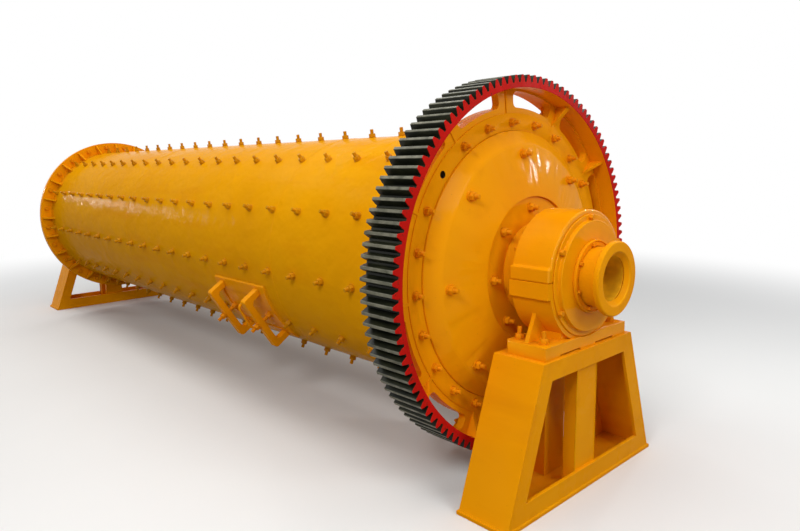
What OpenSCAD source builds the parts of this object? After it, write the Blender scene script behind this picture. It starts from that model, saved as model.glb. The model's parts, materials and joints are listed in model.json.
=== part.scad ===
// Horizontal ball mill: a liner bolted drum on two trunnion bearings, driven by a split girth gear.
// X runs along the mill with the gear end at +X, Y is across, Z is up from the floor.
// Angles round the drum start at +Y and rise through the top.

/* [Drum] */
// outside radius of the drum shell
shell_r = 615; // [400:1:900]
// thickness of the shell plate
shell_wall = 16; // [8:1:40]
// length of the shell between its end faces
shell_len = 4800; // [3600:10:8000]
// length of the shell course at the gear end
gear_course = 1020; // [800:5:2000]
// length of the middle shell course
middle_course = 1955; // [1000:5:2400]
// height of the shell end flanges above the shell
flange_out = 94; // [60:1:160]
// thickness of the shell end flanges
flange_t = 20; // [12:1:60]
// number of gussets behind each shell end flange
gusset_count = 24; // [8:1:48]
// angle of the first gusset at the gear end
gear_gusset_a = 10; // [0:0.2:15]
// angle of the first gusset at the feed end
feed_gusset_a = 1.2; // [0:0.2:15]
// length of each gusset along the shell
gusset_len = 90; // [40:1:200]
// thickness of each gusset
gusset_t = 12; // [6:1:30]
// height of a gusset where it meets the shell, and its distance in from the flange edge
gusset_edge = 10; // [4:1:20]

/* [Heads] */
// thickness of the bolting flange of each head
head_flange_t = 20; // [12:1:60]
// distance from the shell surface in to the head cone
head_in = 6; // [2:1:40]
// distance from the shell surface in to the knee of the head
head_knee_in = 68; // [50:1:150]
// height of the knee above the shell end
head_knee_h = 120; // [90:1:150]
// distance from the knee back to where the straight side of the head ends
head_bevel = 33; // [10:1:34]
// height of the trunnion seat lip above the shell end
head_lip_h = 181; // [155:1:240]
// width of the lip round the trunnion flange
lip_w = 16; // [3:1:30]
// depth of the trunnion flange below the lip
lip_depth = 11; // [4:1:30]
// thickness of the head wall
head_t = 40; // [20:1:80]

/* [Trunnions] */
// radius of the trunnion mounting flange
tr_flange_r = 320; // [260:1:420]
// thickness of the trunnion mounting flange
tr_flange_t = 28; // [15:1:50]
// radius of the trunnion root next to its flange
tr_root_r = 205; // [180:1:240]
// radius of the trunnion journal in the bearing
journal_r = 140; // [110:1:165]
// amount the trunnion is thinner outside its bearing
neck_step = 16; // [8:1:24]
// wall between the journal surface and the passage
journal_wall = 47; // [30:1:80]
// height of the outer end ring above the journal surface
end_ring_out = 14; // [6:1:40]
// thickness of the outer end ring
end_ring_t = 26; // [10:1:60]
// distance from the bearing middle to the outer end of the trunnion
tr_reach = 229; // [190:1:400]

/* [Girth gear] */
// tooth module
gear_m = 14; // [8:1:24]
// height of the pitch circle above the drum shell
gear_rise = 211; // [180:1:260]
// width of the gear rim along the mill
gear_w = 185; // [150:1:300]
// distance from the shell end to the outer face of the gear rim
gear_out = 160; // [120:1:200]
// thickness of the rim under the teeth
rim_t = 21.5; // [12:0.5:40]
// thickness of the gear web
web_t = 20; // [12:1:40]
// height of the gear mounting ring above the shell surface
gear_ring_out = 70; // [40:1:80]
// distance from the shell surface in to the bore of the mounting ring
gear_ring_in = 5; // [0:1:20]
// thickness of the gear mounting ring
gear_ring_t = 40; // [30:1:70]
// web left between the mounting ring and each slot
slot_in = 24; // [8:1:40]
// web left between each slot and the rim
slot_out = 8; // [5:1:30]
// half angle covered by each slot
slot_half_a = 11; // [5:0.2:12]
// corner radius of the slots
slot_c = 24; // [5:1:30]
// angle of the gear split plane above the rear horizontal
split_a = 66; // [0:1:180]
// thickness of the ribs between rim and web
rib_t = 12; // [8:1:40]
// distance from the rim face back to the ribs
rib_back = 18; // [6:1:40]
// thickness of each plate that joins the two halves
joint_t = 22; // [10:1:50]

/* [Manhole] */
// angle of the manhole middle round the drum
man_a = 214; // [180:1:250]
// distance from the gear end of the shell to the manhole middle
man_in = 1395; // [1330:5:2200]
// length of the manhole opening along the drum
man_l = 440; // [300:5:500]
// width of the manhole opening round the drum
man_w = 250; // [200:5:260]
// length of the frame plate round the manhole
frame_l = 540; // [520:5:620]
// width of the frame plate round the manhole
frame_w = 384; // [370:2:440]
// thickness of the frame plate
frame_t = 12; // [6:1:25]
// gap round the cover
cover_gap = 0.5; // [0.3:0.1:0.9]
// distance between the two clamp bows
bow_gap = 376; // [250:2:420]
// thickness of each clamp bow along the drum
bow_t = 44; // [20:1:60]
// half width of each clamp bow round the drum
bow_half = 175; // [170:1:185]
// height of the clamp bows above the drum axis
bow_rise = 97; // [70:1:140]
// width of the bar that forms each clamp bow
bow_bar = 36; // [20:1:45]

/* [Bearings] */
// distance from the shell end to the middle of the gear end bearing
brg_off = 357; // [330:1:600]
// distance from the shell end to the middle of the feed end bearing
feed_off = 415; // [330:1:600]
// outside radius of the bearing housing
house_r = 275; // [240:1:350]
// width of the bearing housing along the mill
house_w = 188; // [160:1:220]
// thickness of the housing wall
house_wall = 61; // [40:1:70]
// radial gap between the journal and its bearing ring
journal_gap = 0.2; // [0.05:0.01:0.3]
// gap between the journal and the fixed covers
cover_clear = 5; // [4:0.5:10]
// height of the housing above the stand
house_gap = 29; // [15:1:60]
// distance from the end of the stand top in to the bearing foot
foot_in = 32; // [20:1:60]
// width of the bearing foot along the mill
foot_w = 199; // [170:1:230]
// distance the foot stands out past the outer face of the housing
foot_out = 13; // [0:1:20]
// gap between the foot and the rim of the outer cover above it
cover_space = 1; // [0.5:0.5:4]
// height of the bearing foot
foot_h = 54; // [36:1:90]
// chamfer on the inner corners of the bearing foot
foot_c = 16; // [5:1:60]
// height of the two openings under the foot
foot_slot_h = 9; // [4:1:20]
// near edge of each opening from the middle
foot_slot_a = 58; // [20:1:90]
// far edge of each opening from the middle
foot_slot_b = 208; // [120:1:250]
// distance the joint flange stands out beyond the housing
joint_out = 10; // [4:1:40]
// height of the joint flange below the axis
joint_low = 66; // [30:1:100]
// height of the joint flange above the axis
joint_high = 58; // [30:1:100]
// half width of the pedestal under the housing
pedestal_half = 165; // [100:1:200]
// thickness of the ribs beside the pedestal
side_rib_t = 18; // [8:1:40]
// distance from the housing edge in to the outer cover
cover_in = 19; // [8:1:40]
// thickness of the cover rim
cover_t = 7; // [4:1:20]
// distance from the cover rim in to its raised middle
cover_step = 24; // [10:1:50]
// height of the raised middle of the cover
cover_rise = 18; // [8:1:40]
// height of the gland above the journal surface
gland_out = 13; // [8:1:40]
// length of the gland
gland_l = 14; // [8:1:40]
// thickness of the inner cover
back_t = 12; // [6:1:30]

/* [Stands] */
// half width of each stand at the floor
stand_half_b = 567; // [400:1:800]
// half width of each stand at the top
stand_half_t = 345; // [320:1:390]
// height of each stand
stand_h = 629; // [500:1:900]
// thickness of each stand along the mill
stand_w = 245; // [200:1:300]
// thickness of the stand plates
plate_t = 16; // [8:1:30]
// thickness of the stand top plate
top_t = 25; // [12:1:50]
// distance the floor plate stands out from the sides
base_out = 5; // [0:1:30]
// height of the bottom rail of the stand frames
rail_b = 95; // [50:1:160]
// height of the top rail of the stand frames
rail_t = 80; // [40:1:140]
// width of the sloping side bars of the stand frames
bar_w = 89; // [50:1:140]
// width of the box posts behind the stand frames
post_w = 150; // [80:1:220]
// depth of the box posts along the mill
post_d = 60; // [30:1:75]
// wall of the box posts
post_wall = 8; // [4:1:20]

/* [Hidden] */
$fn = 96;
eps = 1;
half_len = shell_len / 2;
brg_x = half_len + brg_off;
feed_brg_x = half_len + feed_off;
mid_x = (feed_brg_x - brg_x) / 2;
axis_h = stand_h + house_r + house_gap;
feed_course = shell_len - gear_course - middle_course;
flange_r = shell_r + flange_out;
seat_h = flange_t + head_flange_t;
knee_r = shell_r - head_knee_in;
head_r = shell_r - head_in;
lip_r = tr_flange_r + lip_w;
seat_x = head_lip_h - lip_depth - tr_flange_t;
half_teeth = round((shell_r + gear_rise) / gear_m);
tooth_a = 180 / half_teeth;
pitch_r = gear_m * half_teeth;
tip_r = pitch_r + gear_m;
root_r = pitch_r - 1.25 * gear_m;
rim_in_r = root_r - rim_t;
ring_r = shell_r + gear_ring_out;
ring_bore = shell_r - gear_ring_in;
gear_x0 = gear_out - gear_w;
passage_r = journal_r - journal_wall;
neck_r = journal_r - neck_step;
end_ring_r = journal_r + end_ring_out;
house_x = house_w / 2;
house_bore = house_r - house_wall;
cover_r = house_r - cover_in;
gland_r = journal_r + gland_out;
foot_half = stand_half_t - foot_in;
foot_x = house_x + foot_out - foot_w;
joint_half = house_r + joint_out;
man_x = half_len - man_in;
paint = [0.93, 0.62, 0.05];
red = [0.75, 0.12, 0.1];
steel = [0.5, 0.5, 0.5];

// children placed from the middle of the drum, which is off the middle of the whole mill
module mill() {
  translate([mid_x, 0, 0]) children();
}

// children of the gear end turned round to the feed end
module feed_side() {
  mill() rotate([0, 0, 180]) children();
}

// a tube along the mill, x0 is its low end
module tube(x0, len, ro, ri) {
  translate([x0, 0, axis_h]) rotate([0, 90, 0]) difference() {
    cylinder(r = ro, h = len);
    translate([0, 0, -eps]) cylinder(r = ri, h = len + 2 * eps);
  }
}

// a turned ring, points are radius and distance along the mill
module turned(points) {
  translate([0, 0, axis_h]) rotate([0, 90, 0]) rotate_extrude() polygon(points);
}

// children drawn with local x across, local y up and local z along the mill
module on_axis(x0) {
  translate([x0, 0, axis_h]) rotate([90, 0, 90]) children();
}

module shell_feed() {
  color(paint) mill() tube(-half_len, feed_course, shell_r, shell_r - shell_wall);
}

module shell_middle() {
  color(paint) mill() difference() {
    tube(-half_len + feed_course, middle_course, shell_r, shell_r - shell_wall);
    man_box(man_l, man_w, shell_wall + 40, frame_t);
  }
}

module shell_discharge() {
  color(paint) mill() tube(half_len - gear_course, gear_course, shell_r, shell_r - shell_wall);
}

// shell end flanges with their gussets
module flange_discharge() {
  color(paint) mill() gusseted_flange(gear_gusset_a);
}

module flange_feed() {
  color(paint) feed_side() gusseted_flange(feed_gusset_a);
}

module gusset(a) {
  top = flange_out - gusset_edge;
  translate([half_len, 0, axis_h]) rotate([a, 0, 0])
    translate([0, shell_r, -gusset_t / 2]) linear_extrude(gusset_t)
      polygon([[eps, 0], [eps, top], [-gusset_len / 5, top], [-gusset_len, gusset_edge], [-gusset_len, -4],
        [eps, -4]]);
}

module gusseted_flange(a) {
  difference() {
    union() {
      tube(half_len, flange_t, flange_r, shell_r - shell_wall);
      for (k = [0 : gusset_count - 1]) gusset(a + k * 360 / gusset_count);
    }
    translate([half_len - gusset_len - eps, 0, axis_h]) rotate([0, 90, 0])
      cylinder(r = shell_r, h = gusset_len + eps);
  }
}

module head() {
  x = half_len;
  turned([[flange_r, x + flange_t], [flange_r, x + seat_h], [head_r, x + seat_h],
    [head_r, x + head_knee_h - head_bevel], [knee_r, x + head_knee_h], [lip_r, x + head_lip_h],
    [tr_flange_r, x + head_lip_h], [tr_flange_r, x + seat_x], [tr_root_r - 10, x + seat_x],
    [tr_root_r - 10, x + seat_x - head_t], [tr_flange_r, x + seat_x - head_t],
    [knee_r - head_t / 2, x + head_knee_h - head_t], [shell_r - shell_wall - 20, x + flange_t]]);
}

module head_discharge() {
  color(paint) mill() head();
}

module head_feed() {
  color(paint) feed_side() head();
}

module trunnion_flange() {
  x = half_len + seat_x;
  turned([[passage_r, x], [tr_flange_r, x], [tr_flange_r, x + tr_flange_t], [passage_r, x + tr_flange_t]]);
}

module trunnion_tube(bx) {
  x = half_len + seat_x + tr_flange_t;
  turned([[passage_r, x], [tr_root_r, x], [tr_root_r, x + 12], [journal_r + 18, bx - house_x - back_t - 14],
    [journal_r, bx - house_x - back_t - 14], [journal_r, bx + house_x], [neck_r, bx + house_x],
    [neck_r, bx + tr_reach - end_ring_t], [passage_r, bx + tr_reach - end_ring_t]]);
}

module trunnion_ring(bx) {
  tube(bx + tr_reach - end_ring_t, end_ring_t, end_ring_r, passage_r);
}

module discharge_trunnion_flange() {
  color(paint) mill() trunnion_flange();
}

module discharge_trunnion_tube() {
  color(paint) mill() trunnion_tube(brg_x);
}

module discharge_trunnion_ring() {
  color(paint) mill() trunnion_ring(brg_x);
}

module feed_trunnion_flange() {
  color(paint) feed_side() trunnion_flange();
}

module feed_trunnion_tube() {
  color(paint) feed_side() trunnion_tube(feed_brg_x);
}

module feed_trunnion_ring() {
  color(paint) feed_side() trunnion_ring(feed_brg_x);
}

// point at radius r and angle a
function at(r, a) = [r * cos(a), r * sin(a)];

// points of one tooth that starts at angle a
function tooth(a) = [at(root_r, a + tooth_a * 0.12), at(pitch_r - 0.3 * gear_m, a + tooth_a * 0.2),
  at(pitch_r + 0.3 * gear_m, a + tooth_a * 0.29), at(tip_r, a + tooth_a * 0.36),
  at(tip_r, a + tooth_a * 0.64), at(pitch_r + 0.3 * gear_m, a + tooth_a * 0.71),
  at(pitch_r - 0.3 * gear_m, a + tooth_a * 0.8), at(root_r, a + tooth_a * 0.88)];
half_points = [for (k = [0 : half_teeth - 1]) for (p = tooth(k * tooth_a)) p];

// points of one rounded corner of a web slot
function corner(r, a, a0, a1) = [for (k = [0 : 4]) at(r, a) + at(slot_c, a0 + (a1 - a0) * k / 4)];
function edge_arc(r, a0, a1) = [for (k = [1 : 4]) at(r, a0 + (a1 - a0) * k / 5)];
slot_ri = ring_r + slot_in + slot_c;
slot_ro = rim_in_r - slot_out - slot_c;
slot_ai = slot_half_a - slot_c / slot_ri * 180 / PI;
slot_ao = slot_half_a - slot_c / slot_ro * 180 / PI;
slot_points = concat(
  corner(slot_ro, slot_ao, 0, 90 + slot_ao),
  corner(slot_ri, slot_ai, 90 + slot_ai, 180),
  edge_arc(slot_ri - slot_c, slot_ai, -slot_ai),
  corner(slot_ri, -slot_ai, 180, 270 - slot_ai),
  corner(slot_ro, -slot_ao, 270 - slot_ao, 360),
  edge_arc(slot_ro + slot_c, -slot_ao, slot_ao));

module half_disc(r, h) {
  intersection() {
    cylinder(r = r, h = h);
    translate([-r - eps, 0, -eps]) cube([2 * r + 2 * eps, r + eps, h + 2 * eps]);
  }
}

// toothed half rim, split face on the local x axis
module rim_half() {
  on_axis(half_len + gear_x0) rotate(split_a) difference() {
    linear_extrude(gear_w) polygon(concat([[root_r, 0]], half_points, [[-root_r, 0]]));
    translate([0, 0, -eps]) cylinder(r = rim_in_r, h = gear_w + 2 * eps);
  }
}

// low rib on the web from ring to rim, drawn in radius and distance along the mill
module web_rib(t) {
  rotate([90, 0, 0]) translate([0, 0, -t / 2]) linear_extrude(t)
    polygon([[ring_r - 4, web_t - eps], [rim_in_r + 4, web_t - eps], [rim_in_r + 4, gear_ring_t],
      [ring_r - 4, gear_ring_t]]);
}

// high rib from the ring up to the rim
module outer_rib(t) {
  h = gear_out - seat_h - rib_back;
  rotate([90, 0, 0]) translate([0, 0, -t / 2]) linear_extrude(t)
    polygon([[ring_r - 4, web_t - eps], [rim_in_r + 4, web_t - eps], [rim_in_r + 4, h], [ring_r + 14, gear_ring_t],
      [ring_r - 4, gear_ring_t]]);
}

module inner_rib(t) {
  rotate([90, 0, 0]) translate([0, 0, -t / 2]) linear_extrude(t)
    polygon([[flange_r + 6, eps], [rim_in_r + 4, eps], [rim_in_r + 4, gear_x0 - seat_h + rib_back],
      [flange_r + 6, -seat_h / 2]]);
}

// half of the web, mounting ring and ribs
module web_half() {
  on_axis(half_len + seat_h) rotate(split_a) difference() {
    union() {
      difference() {
        half_disc(rim_in_r + 4, web_t);
        translate([0, 0, -eps]) cylinder(r = ring_bore + 20, h = web_t + 2 * eps);
      }
      difference() {
        half_disc(ring_r, gear_ring_t);
        translate([0, 0, -eps]) cylinder(r = ring_bore, h = gear_ring_t + 2 * eps);
      }
      for (k = [1 : 4]) rotate(k * 30) web_rib(rib_t);
      rotate(150) outer_rib(rib_t);
      for (k = [1 : 5]) rotate(k * 30) inner_rib(rib_t);
      translate([0, joint_t / 2, 0]) outer_rib(joint_t);
      translate([0, joint_t / 2, 0]) inner_rib(joint_t);
      rotate(180) translate([0, -joint_t / 2, 0]) outer_rib(joint_t);
      rotate(180) translate([0, -joint_t / 2, 0]) inner_rib(joint_t);
    }
    for (k = [0 : 5]) rotate(15 + k * 30) translate([0, 0, -gear_w]) linear_extrude(3 * gear_w)
      polygon(slot_points);
    translate([0, 0, -gear_w]) difference() {
      cylinder(r = rim_in_r + 40, h = 3 * gear_w);
      translate([0, 0, -eps]) cylinder(r = rim_in_r, h = 3 * gear_w + 2 * eps);
    }
  }
}

// the second half of the gear is the first one turned half a turn about the axis
module half_turn() {
  translate([0, 0, axis_h]) rotate([180, 0, 0]) translate([0, 0, -axis_h]) children();
}

module gear_rim_rear() {
  color(red) mill() rim_half();
}

module gear_rim_front() {
  color(red) mill() half_turn() rim_half();
}

module gear_web_rear() {
  color(paint) mill() web_half();
}

module gear_web_front() {
  color(paint) mill() half_turn() web_half();
}

// children drawn with local x along the drum, local y out from the axis and local z round it
module man_place() {
  translate([man_x, 0, axis_h]) rotate([man_a, 0, 0]) children();
}

// box through the drum wall at the manhole, d inward and e outward of the shell surface
module man_box(l, w, d, e) {
  man_place() translate([-l / 2, shell_r - d, -w / 2]) cube([l, d + e + 40, w]);
}

module manhole_frame() {
  color(paint) mill() difference() {
    intersection() {
      tube(man_x - frame_l / 2, frame_l, shell_r + frame_t, shell_r);
      man_box(frame_l + 2, frame_w, shell_wall + 40, frame_t);
    }
    man_box(man_l, man_w, shell_wall + 60, frame_t + 40);
  }
}

module manhole_cover() {
  color(paint) mill() intersection() {
    tube(man_x - man_l / 2 + cover_gap, man_l - 2 * cover_gap, shell_r + frame_t / 2, shell_r - shell_wall);
    man_box(man_l + 2, man_w - 2 * cover_gap, shell_wall + 40, frame_t);
  }
}

// one clamp bow, s is -1 or 1
module clamp_bow(s) {
  x = man_x + s * bow_gap / 2 - bow_t / 2;
  c = 16;
  top = shell_r + bow_rise;
  in_half = bow_half - bow_bar;
  difference() {
    translate([x, 0, axis_h]) rotate([man_a, 0, 0]) rotate([90, 0, 90]) linear_extrude(bow_t)
      difference() {
        polygon([[shell_r - 40, -bow_half], [top - c, -bow_half], [top - c * 0.3, -bow_half + c * 0.3],
          [top, -bow_half + c], [top, bow_half - c], [top - c * 0.3, bow_half - c * 0.3],
          [top - c, bow_half], [shell_r - 40, bow_half]]);
        polygon([[shell_r - 60, -in_half], [top - bow_bar - c, -in_half], [top - bow_bar, -in_half + c],
          [top - bow_bar, in_half - c], [top - bow_bar - c, in_half], [shell_r - 60, in_half]]);
      }
    translate([x - eps, 0, axis_h]) rotate([0, 90, 0]) cylinder(r = shell_r + frame_t, h = bow_t + 2 * eps);
  }
}

module manhole_clamp_feed_side() {
  color(paint) mill() clamp_bow(-1);
}

module manhole_clamp_gear_side() {
  color(paint) mill() clamp_bow(1);
}

// half width of the stand at height z
function edge_y(z) = stand_half_b - (stand_half_b - stand_half_t) * z / stand_h;

// frame plate with its opening, x is its low face
module stand_frame(x) {
  za = rail_b;
  zb = stand_h - rail_t;
  translate([x, 0, 0]) rotate([90, 0, 90]) linear_extrude(plate_t) difference() {
    polygon([[-edge_y(plate_t) + plate_t, plate_t], [edge_y(plate_t) - plate_t, plate_t],
      [stand_half_t - plate_t, stand_h], [-stand_half_t + plate_t, stand_h]]);
    polygon([[-edge_y(za) + bar_w, za], [edge_y(za) - bar_w, za], [edge_y(zb) - bar_w, zb],
      [-edge_y(zb) + bar_w, zb]]);
  }
}

// box post that stands behind a frame plate, x is its low face
module stand_post(x) {
  translate([x, 0, plate_t]) linear_extrude(stand_h - top_t - plate_t) difference() {
    translate([0, -post_w / 2]) square([post_d, post_w]);
    translate([post_wall, -post_w / 2 + post_wall]) square([post_d - 2 * post_wall, post_w - 2 * post_wall]);
  }
}

module outer_frame() {
  stand_frame(stand_w / 2 - plate_t);
  stand_post(stand_w / 2 - plate_t - post_d);
}

module inner_frame() {
  stand_frame(-stand_w / 2);
  stand_post(-stand_w / 2 + plate_t);
}

module stand_side(s) {
  translate([-stand_w / 2, 0, 0]) rotate([90, 0, 90]) linear_extrude(stand_w)
    polygon([[s * edge_y(plate_t), plate_t], [s * stand_half_t, stand_h], [s * (stand_half_t - plate_t), stand_h],
      [s * (edge_y(plate_t) - plate_t), plate_t]]);
}

module stand_base() {
  translate([-stand_w / 2 - base_out, -stand_half_b - base_out, 0])
    cube([stand_w + 2 * base_out, 2 * (stand_half_b + base_out), plate_t]);
}

module stand_top() {
  zt = stand_h - top_t;
  translate([-stand_w / 2 + plate_t, 0, 0]) rotate([90, 0, 90]) linear_extrude(stand_w - 2 * plate_t)
    polygon([[-edge_y(zt) + plate_t, zt], [edge_y(zt) - plate_t, zt], [stand_half_t - plate_t, stand_h],
      [-stand_half_t + plate_t, stand_h]]);
}

// rib between the foot and the lower housing on side s
module side_rib(s) {
  translate([-side_rib_t / 2, 0, 0]) rotate([90, 0, 90]) linear_extrude(side_rib_t)
    polygon([[s * (foot_half - 20), stand_h + foot_h - eps], [s * house_r * 0.86, axis_h - house_r * 0.47],
      [s * house_r * 0.6, axis_h - house_r * 0.6], [s * pedestal_half * 0.9, stand_h + foot_h - eps]]);
}

module bearing_base() {
  difference() {
    union() {
      on_axis(-house_x) rotate(180) half_disc(house_r, house_w);
      translate([0, 0, stand_h]) linear_extrude(foot_h)
        polygon([[foot_x + foot_c, -foot_half], [house_x + foot_out, -foot_half], [house_x + foot_out, foot_half],
          [foot_x + foot_c, foot_half], [foot_x, foot_half - foot_c], [foot_x, -foot_half + foot_c]]);
      translate([-house_x, -joint_half, axis_h - joint_low]) cube([house_w, 2 * joint_half, joint_low]);
      translate([-house_x + 14, -pedestal_half, stand_h + foot_h - eps])
        cube([house_w - 28, 2 * pedestal_half, house_gap + house_r - foot_h - house_bore]);
      side_rib(-1);
      side_rib(1);
    }
    on_axis(-house_x - eps) cylinder(r = house_bore, h = house_w + 2 * eps);
    on_axis(house_x) cylinder(r = cover_r + cover_space, h = foot_out + eps);
    for (s = [-1, 1])
      translate([foot_x - eps, s > 0 ? foot_slot_a : -foot_slot_b, stand_h - eps])
        cube([foot_w + 2 * eps, foot_slot_b - foot_slot_a, foot_slot_h + eps]);
  }
}

module bearing_cap() {
  difference() {
    union() {
      on_axis(-house_x) half_disc(house_r, house_w);
      translate([-house_x, -joint_half, axis_h]) cube([house_w, 2 * joint_half, joint_high]);
    }
    on_axis(-house_x - eps) cylinder(r = house_bore, h = house_w + 2 * eps);
  }
}

module bearing_ring() {
  tube(-house_x, house_w, house_bore, journal_r + journal_gap);
}

module bearing_cover() {
  h = cover_t + cover_rise;
  turned([[cover_r, house_x], [cover_r, house_x + cover_t], [cover_r - cover_step, house_x + cover_t],
    [cover_r - cover_step, house_x + h], [gland_r, house_x + h], [journal_r + cover_clear, house_x + h],
    [journal_r + cover_clear, house_x]]);
}

module bearing_gland() {
  tube(house_x + cover_t + cover_rise, gland_l, gland_r, journal_r + cover_clear);
}

module back_cover() {
  tube(-house_x - back_t, back_t, cover_r, journal_r + cover_clear);
}

module at_discharge() {
  mill() translate([brg_x, 0, 0]) children();
}

module at_feed() {
  feed_side() translate([feed_brg_x, 0, 0]) children();
}

module discharge_stand_base() {
  color(paint) at_discharge() stand_base();
}

module discharge_stand_side_front() {
  color(paint) at_discharge() stand_side(-1);
}

module discharge_stand_side_rear() {
  color(paint) at_discharge() stand_side(1);
}

module discharge_stand_outer_frame() {
  color(paint) at_discharge() outer_frame();
}

module discharge_stand_inner_frame() {
  color(paint) at_discharge() inner_frame();
}

module discharge_stand_top() {
  color(paint) at_discharge() stand_top();
}

module discharge_bearing_base() {
  color(paint) at_discharge() bearing_base();
}

module discharge_bearing_cap() {
  color(paint) at_discharge() bearing_cap();
}

module discharge_bearing_ring() {
  color(steel) at_discharge() bearing_ring();
}

module discharge_bearing_cover() {
  color(paint) at_discharge() bearing_cover();
}

module discharge_bearing_gland() {
  color(paint) at_discharge() bearing_gland();
}

module discharge_back_cover() {
  color(paint) at_discharge() back_cover();
}

module feed_stand_base() {
  color(paint) at_feed() stand_base();
}

module feed_stand_side_front() {
  color(paint) at_feed() stand_side(1);
}

module feed_stand_side_rear() {
  color(paint) at_feed() stand_side(-1);
}

module feed_stand_outer_frame() {
  color(paint) at_feed() outer_frame();
}

module feed_stand_inner_frame() {
  color(paint) at_feed() inner_frame();
}

module feed_stand_top() {
  color(paint) at_feed() stand_top();
}

module feed_bearing_base() {
  color(paint) at_feed() bearing_base();
}

module feed_bearing_cap() {
  color(paint) at_feed() bearing_cap();
}

module feed_bearing_ring() {
  color(steel) at_feed() bearing_ring();
}

module feed_bearing_cover() {
  color(paint) at_feed() bearing_cover();
}

module feed_bearing_gland() {
  color(paint) at_feed() bearing_gland();
}

module feed_back_cover() {
  color(paint) at_feed() back_cover();
}

shell_feed();
shell_middle();
shell_discharge();
flange_feed();
flange_discharge();
head_feed();
head_discharge();
feed_trunnion_flange();
feed_trunnion_tube();
feed_trunnion_ring();
discharge_trunnion_flange();
discharge_trunnion_tube();
discharge_trunnion_ring();
gear_rim_rear();
gear_rim_front();
gear_web_rear();
gear_web_front();
manhole_frame();
manhole_cover();
manhole_clamp_feed_side();
manhole_clamp_gear_side();
discharge_stand_base();
discharge_stand_side_front();
discharge_stand_side_rear();
discharge_stand_outer_frame();
discharge_stand_inner_frame();
discharge_stand_top();
discharge_bearing_base();
discharge_bearing_cap();
discharge_bearing_ring();
discharge_bearing_cover();
discharge_bearing_gland();
discharge_back_cover();
feed_stand_base();
feed_stand_side_front();
feed_stand_side_rear();
feed_stand_outer_frame();
feed_stand_inner_frame();
feed_stand_top();
feed_bearing_base();
feed_bearing_cap();
feed_bearing_ring();
feed_bearing_cover();
feed_bearing_gland();
feed_back_cover();
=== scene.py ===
"""Looks of a horizontal ball mill: painted plate, greasy teeth, bolts, welds, light and camera.

X runs along the mill with the gear end at +X. Angles round the drum are in degrees, start at +Y
and rise through the top. Lengths are in metres.
"""

import json
import math
import random

import bmesh
import bpy
import numpy as np
from mathutils import Matrix, Vector

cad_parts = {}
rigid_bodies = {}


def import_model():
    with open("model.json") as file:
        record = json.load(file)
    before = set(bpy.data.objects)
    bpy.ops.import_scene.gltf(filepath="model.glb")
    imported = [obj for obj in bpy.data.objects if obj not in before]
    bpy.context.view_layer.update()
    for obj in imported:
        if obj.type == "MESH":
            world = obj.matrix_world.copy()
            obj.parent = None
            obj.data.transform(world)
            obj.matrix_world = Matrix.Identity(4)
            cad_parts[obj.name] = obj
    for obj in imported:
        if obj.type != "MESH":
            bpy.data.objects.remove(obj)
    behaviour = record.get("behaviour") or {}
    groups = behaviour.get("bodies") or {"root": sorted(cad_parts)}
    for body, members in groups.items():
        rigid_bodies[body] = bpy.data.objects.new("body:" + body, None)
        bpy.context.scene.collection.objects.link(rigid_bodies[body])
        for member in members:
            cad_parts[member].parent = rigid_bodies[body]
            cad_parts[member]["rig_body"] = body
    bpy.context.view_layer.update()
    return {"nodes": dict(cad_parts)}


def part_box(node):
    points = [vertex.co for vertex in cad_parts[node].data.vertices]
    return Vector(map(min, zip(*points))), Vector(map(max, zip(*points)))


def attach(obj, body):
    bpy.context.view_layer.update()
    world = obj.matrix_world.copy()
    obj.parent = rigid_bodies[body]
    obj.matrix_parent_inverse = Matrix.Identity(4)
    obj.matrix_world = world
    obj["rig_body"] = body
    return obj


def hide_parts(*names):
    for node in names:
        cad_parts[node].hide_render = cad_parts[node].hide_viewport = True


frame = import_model()
nodes = frame["nodes"]
random.seed(11)


def mid(node, axis):
    """Middle of a node's box along one axis."""
    low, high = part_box(node)
    return (low[axis] + high[axis]) / 2


def face_x(node, sign):
    """X of the end of a node's box that looks along +X or, for a negative sign, along -X."""
    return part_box(node)[1 if sign > 0 else 0].x


def from_axis(p):
    """Distance of a point from the drum axis."""
    return math.hypot(p.y, p.z - AXIS_Z)


def radii(node):
    """Least and greatest distance of a node's points from the drum axis."""
    reach = [from_axis(v.co) for v in nodes[node].data.vertices]
    return min(reach), max(reach)


# Sizes that come from the frame.
AXIS_Z = mid("shell_middle", 2)
SHELL_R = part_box("shell_middle")[1].z - AXIS_Z
FEED_END = face_x("shell_feed", -1)
GEAR_END = face_x("shell_discharge", 1)
SEAMS = [face_x("shell_middle", -1), face_x("shell_middle", 1)]
RIM_R, TIP_R = radii("gear_rim_front")

# Both ends of the mill, with the way each one looks along X.
ENDS = {"discharge": 1, "feed": -1}

# Sizes of the part that its boxes don't give: the gear's outer faces, the joint of its halves,
# the bend in a head and its cone, the manhole, the foot of a bearing, and flanges with gussets.
WEB_FACE = GEAR_END + 0.06
RING_FACE = GEAR_END + 0.08
SPLIT_ANGLE = 66
JOINT_PLATE = 0.022
KNEE_R = 0.547
CONE_OUT = 0.139
MANHOLE_ANGLE = 214
FOOT_THICK = 0.054
FLANGE_THICK = 0.02
FLANGE_STEP = 15
GUSSET_HALF = 0.0075
GUSSET_LENGTH = 0.092
GUSSET_HEIGHT = 0.082

# Radii of bolt circles, and the angle of the one gear hole that stays free.
GEAR_NUTS_R = 0.645
GEAR_HEADS_R = 0.65
FREE_HOLE_ANGLE = 138.7
FEED_BOLTS_R = 0.665
HEAD_BOLTS_R = 0.508
TRUNNION_BOLTS_R = 0.275
COVER_SCREWS_R = 0.245
BACK_SCREWS_R = 0.235
GLAND_SCREWS_R = 0.136
JOINT_BOLTS_R = 0.745

# Widths of rounded edges.
TOOTH_EDGE = 0.0012
PLATE_EDGE = 0.0015
TURNED_EDGE = 0.002
CAST_EDGE = 0.003

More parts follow.
